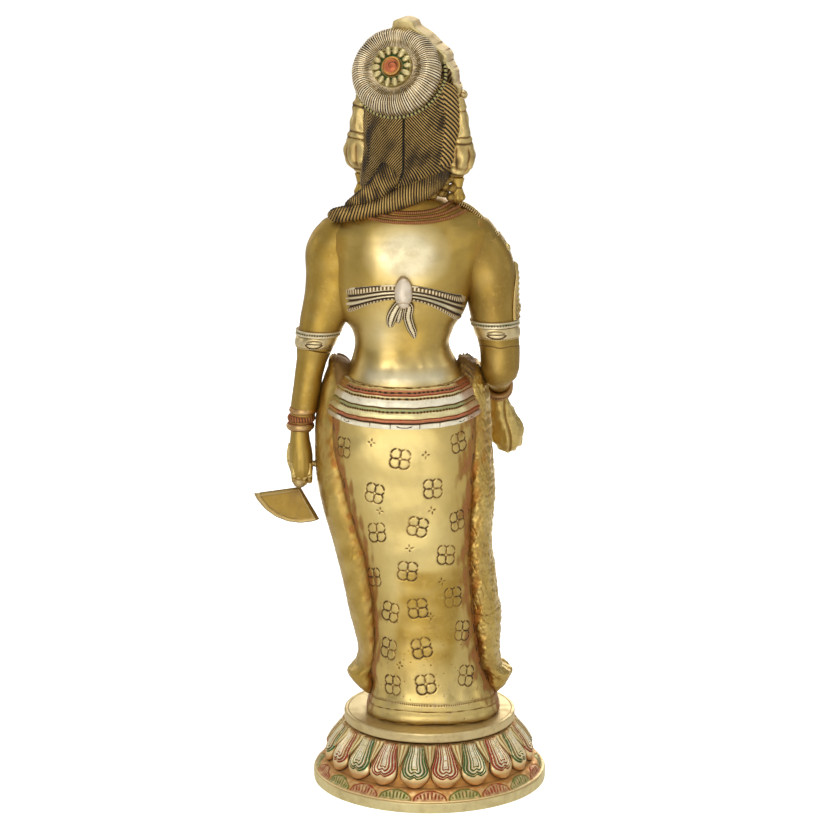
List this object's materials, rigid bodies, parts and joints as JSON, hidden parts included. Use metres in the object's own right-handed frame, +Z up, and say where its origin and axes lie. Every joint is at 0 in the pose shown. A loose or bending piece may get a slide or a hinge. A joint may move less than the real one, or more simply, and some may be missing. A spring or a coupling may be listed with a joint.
{
  "type": "goddess idol",
  "caption": "Standing brass goddess figure on a round lotus pedestal, a ritual or display idol with bound hair, crown, draped skirt and a lotus held in the lowered hand.",
  "frame": {"origin": "on the surface that the idol stands on, under the middle of its whole outline; the pedestal's axis stands 28.9 mm from it towards -X, because the held lotus reaches out on the +X side", "axes": "+Z up; the goddess faces -Y; +X is towards her left side, the hanging arm with the lotus"},
  "size_m": [0.2908, 0.233, 0.7655],
  "materials": {
    "polished_brass": "satin polished antique brass with brown patina in the hollows",
    "engraved_brass": "engraved brass with dark grooves and thin red and green lacquer lines",
    "pale_brass": "matt pale gold brass, turned or filed",
    "hair_brass": "finely ribbed brass with dark brown patina between the ribs",
    "reddened_brass": "beaded brass with a worn red lacquer wash",
    "lacquered_brass": "cast lotus petals with worn red and green lacquer in their grooves, matt turned rim",
    "fixing_steel": "plain threaded fixing steel, hidden inside"
  },
  "bodies": {
    "root": {"lotus_pedestal": "lacquered_brass", "pedestal_top_disc": "pale_brass", "fixing_stud": "fixing_steel", "fixing_washer": "fixing_steel", "fixing_nut": "fixing_steel", "fixing_anchor_bar": "fixing_steel", "skirt_body": "polished_brass", "waist_girdle": "engraved_brass", "girdle_clasp": "polished_brass", "left_side_drape": "polished_brass", "right_side_drape": "polished_brass", "front_pleats": "polished_brass", "left_foot": "pale_brass", "right_foot": "pale_brass", "torso": "polished_brass", "breast_band": "engraved_brass", "band_knot": "pale_brass", "band_tail_left": "engraved_brass", "band_tail_right": "engraved_brass", "necklace_1": "reddened_brass", "necklace_2": "reddened_brass", "necklace_3": "reddened_brass", "left_shoulder_garland": "engraved_brass", "right_shoulder_garland": "engraved_brass", "left_upper_arm": "polished_brass", "left_forearm": "polished_brass", "left_armband": "engraved_brass", "left_bangle_1": "reddened_brass", "left_bangle_2": "reddened_brass", "left_bangle_3": "reddened_brass", "left_hand": "polished_brass", "hand_lotus": "pale_brass", "hand_strut": "engraved_brass", "right_upper_arm": "polished_brass", "right_armband": "engraved_brass", "right_armband_crest": "engraved_brass", "right_forearm": "polished_brass", "right_hand": "polished_brass", "right_bangle": "reddened_brass", "head": "polished_brass", "hair_cap": "hair_brass", "hair_bun": "hair_brass", "bun_bead_string": "pale_brass", "bun_rosette": "pale_brass", "bun_rosette_boss": "reddened_brass", "bun_rosette_beads": "pale_brass", "crown": "pale_brass", "crown_band": "engraved_brass", "left_crown_knob": "pale_brass", "right_crown_knob": "pale_brass", "left_ear_ornament": "polished_brass", "right_ear_ornament": "polished_brass", "left_ear_drop": "polished_brass", "right_ear_drop": "polished_brass", "hair_tail": "hair_brass"}
  },
  "joints": []
}
